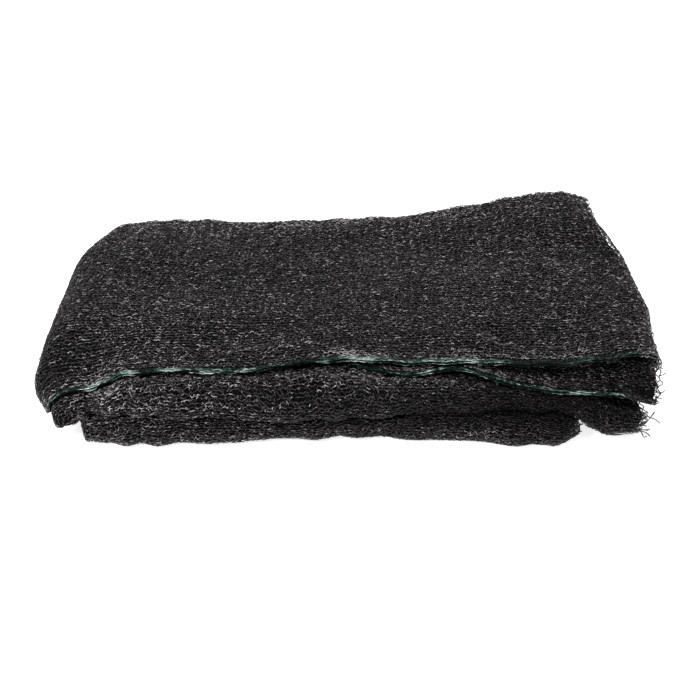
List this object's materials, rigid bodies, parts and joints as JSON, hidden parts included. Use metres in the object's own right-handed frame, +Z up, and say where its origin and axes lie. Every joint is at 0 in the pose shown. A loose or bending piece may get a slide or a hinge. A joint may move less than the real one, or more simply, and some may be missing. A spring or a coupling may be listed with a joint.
{
  "type": "folded shade cloth",
  "caption": "Black knitted shade cloth with green selvages, folded back and forth and turned over into a flat, uneven pack with cut ends.",
  "frame": {"origin": "middle of the pack's outline, on the floor that it lies on", "axes": "+X along the knitted chains, from the turned-over end to the cut ends, +Y from the selvages at the front to the back, +Z up"},
  "size_m": [0.6162, 0.3934, 0.1081],
  "materials": {
    "black_knit": "Warp-knitted black flat tape, slightly glossy, with small glints and a green selvage along both long edges."
  },
  "bodies": {
    "root": {"shade_cloth": "black_knit"}
  },
  "joints": []
}
